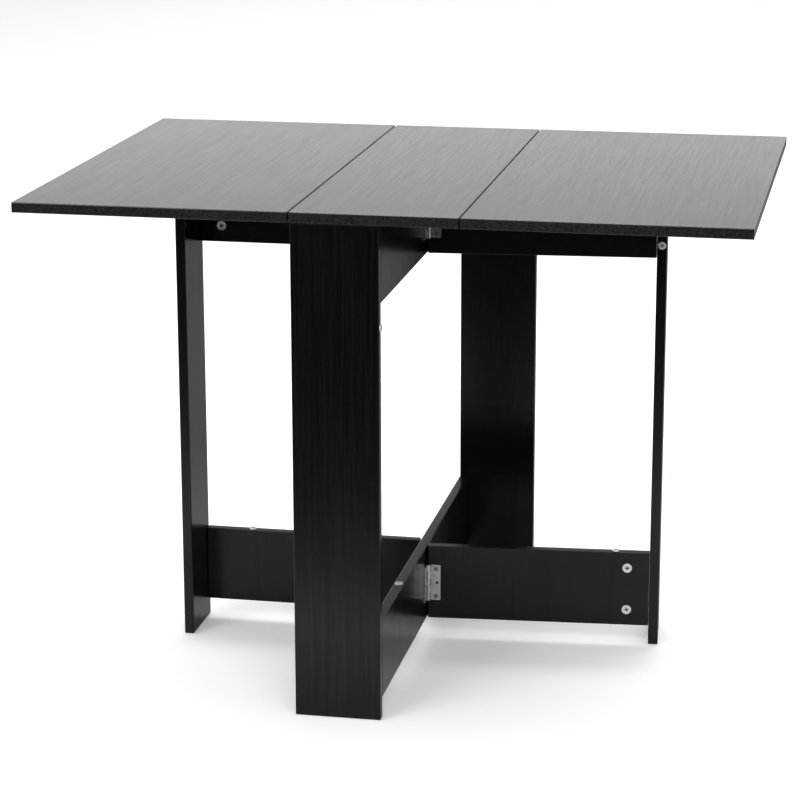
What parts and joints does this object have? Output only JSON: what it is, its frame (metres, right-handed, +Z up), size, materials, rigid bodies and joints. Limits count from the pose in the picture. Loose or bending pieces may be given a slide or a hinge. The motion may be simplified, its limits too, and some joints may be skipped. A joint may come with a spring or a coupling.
{
  "type": "gateleg table",
  "caption": "Gateleg dining table of dark laminated board: a narrow fixed frame, a centre panel with two drop leaves, and two swinging gates that carry the leaves.",
  "frame": {"origin": "on the floor, under the middle of the table top", "axes": "+X along the table's length, over the right leaf; +Y across the table, towards the rear slab; +Z up"},
  "size_m": [1.03, 0.76, 0.734],
  "materials": {
    "top_laminate": "black wood-grain laminate, satin, with broad soft reflections",
    "frame_laminate": "black wood-grain laminate with a fine open grain, satin",
    "hinge_steel": "bright nickel-plated pressed steel",
    "cam_zinc": "die-cast zinc, matt grey"
  },
  "bodies": {
    "frame": {"centre_panel": "top_laminate", "front_slab": "frame_laminate", "front_slab_edge_screw": "cam_zinc", "left_front_leaf_hinge_fixed_plate": "hinge_steel", "left_front_leaf_hinge_pin": "hinge_steel", "left_gate_lower_hinge_fixed_plate": "hinge_steel", "left_gate_lower_hinge_pin": "hinge_steel", "left_gate_upper_hinge_fixed_plate": "hinge_steel", "left_gate_upper_hinge_pin": "hinge_steel", "left_rear_leaf_hinge_fixed_plate": "hinge_steel", "left_rear_leaf_hinge_pin": "hinge_steel", "main_lower_rail": "frame_laminate", "main_lower_rail_edge_screw": "cam_zinc", "main_lower_rail_front_lower_cam_lock": "cam_zinc", "main_lower_rail_front_upper_cam_lock": "cam_zinc", "main_lower_rail_rear_lower_cam_lock": "cam_zinc", "main_lower_rail_rear_upper_cam_lock": "cam_zinc", "main_upper_rail": "frame_laminate", "main_upper_rail_front_lower_cam_lock": "cam_zinc", "main_upper_rail_front_upper_cam_lock": "cam_zinc", "main_upper_rail_rear_lower_cam_lock": "cam_zinc", "main_upper_rail_rear_upper_cam_lock": "cam_zinc", "rear_slab": "frame_laminate", "rear_slab_edge_screw": "cam_zinc", "right_front_leaf_hinge_fixed_plate": "hinge_steel", "right_front_leaf_hinge_pin": "hinge_steel", "right_gate_lower_hinge_fixed_plate": "hinge_steel", "right_gate_lower_hinge_pin": "hinge_steel", "right_gate_upper_hinge_fixed_plate": "hinge_steel", "right_gate_upper_hinge_pin": "hinge_steel", "right_rear_leaf_hinge_fixed_plate": "hinge_steel", "right_rear_leaf_hinge_pin": "hinge_steel"},
    "right_gate": {"right_gate_leg": "frame_laminate", "right_gate_leg_edge_screw": "cam_zinc", "right_gate_lower_hinge_moving_plate": "hinge_steel", "right_gate_lower_rail": "frame_laminate", "right_gate_lower_rail_edge_screw": "cam_zinc", "right_gate_lower_rail_lower_cam_lock": "cam_zinc", "right_gate_lower_rail_upper_cam_lock": "cam_zinc", "right_gate_upper_hinge_moving_plate": "hinge_steel", "right_gate_upper_rail": "frame_laminate", "right_gate_upper_rail_lower_cam_lock": "cam_zinc", "right_gate_upper_rail_upper_cam_lock": "cam_zinc"},
    "left_gate": {"left_gate_leg": "frame_laminate", "left_gate_leg_edge_screw": "cam_zinc", "left_gate_lower_hinge_moving_plate": "hinge_steel", "left_gate_lower_rail": "frame_laminate", "left_gate_lower_rail_edge_screw": "cam_zinc", "left_gate_lower_rail_lower_cam_lock": "cam_zinc", "left_gate_lower_rail_upper_cam_lock": "cam_zinc", "left_gate_upper_hinge_moving_plate": "hinge_steel", "left_gate_upper_rail": "frame_laminate", "left_gate_upper_rail_lower_cam_lock": "cam_zinc", "left_gate_upper_rail_upper_cam_lock": "cam_zinc"},
    "right_leaf": {"right_drop_leaf": "top_laminate", "right_front_leaf_hinge_moving_plate": "hinge_steel", "right_rear_leaf_hinge_moving_plate": "hinge_steel"},
    "left_leaf": {"left_drop_leaf": "top_laminate", "left_front_leaf_hinge_moving_plate": "hinge_steel", "left_rear_leaf_hinge_moving_plate": "hinge_steel"}
  },
  "joints": [
    {"name": "right_gate_swing", "type": "hinge", "parent": "frame", "child": "right_gate", "pos_m": [0.0108, -0.0233, 0.36], "axis": [0, 0, -1], "range_deg": [0, 94.5]},
    {"name": "left_gate_swing", "type": "hinge", "parent": "frame", "child": "left_gate", "pos_m": [-0.0108, 0.0233, 0.36], "axis": [0, 0, -1], "range_deg": [-4.5, 90]},
    {"name": "right_leaf_lift", "type": "hinge", "parent": "frame", "child": "right_leaf", "pos_m": [0.119, 0, 0.7157], "axis": [0, -1, 0], "range_deg": [0, 5]},
    {"name": "left_leaf_lift", "type": "hinge", "parent": "frame", "child": "left_leaf", "pos_m": [-0.119, 0, 0.7157], "axis": [0, 1, 0], "range_deg": [0, 5]}
  ]
}
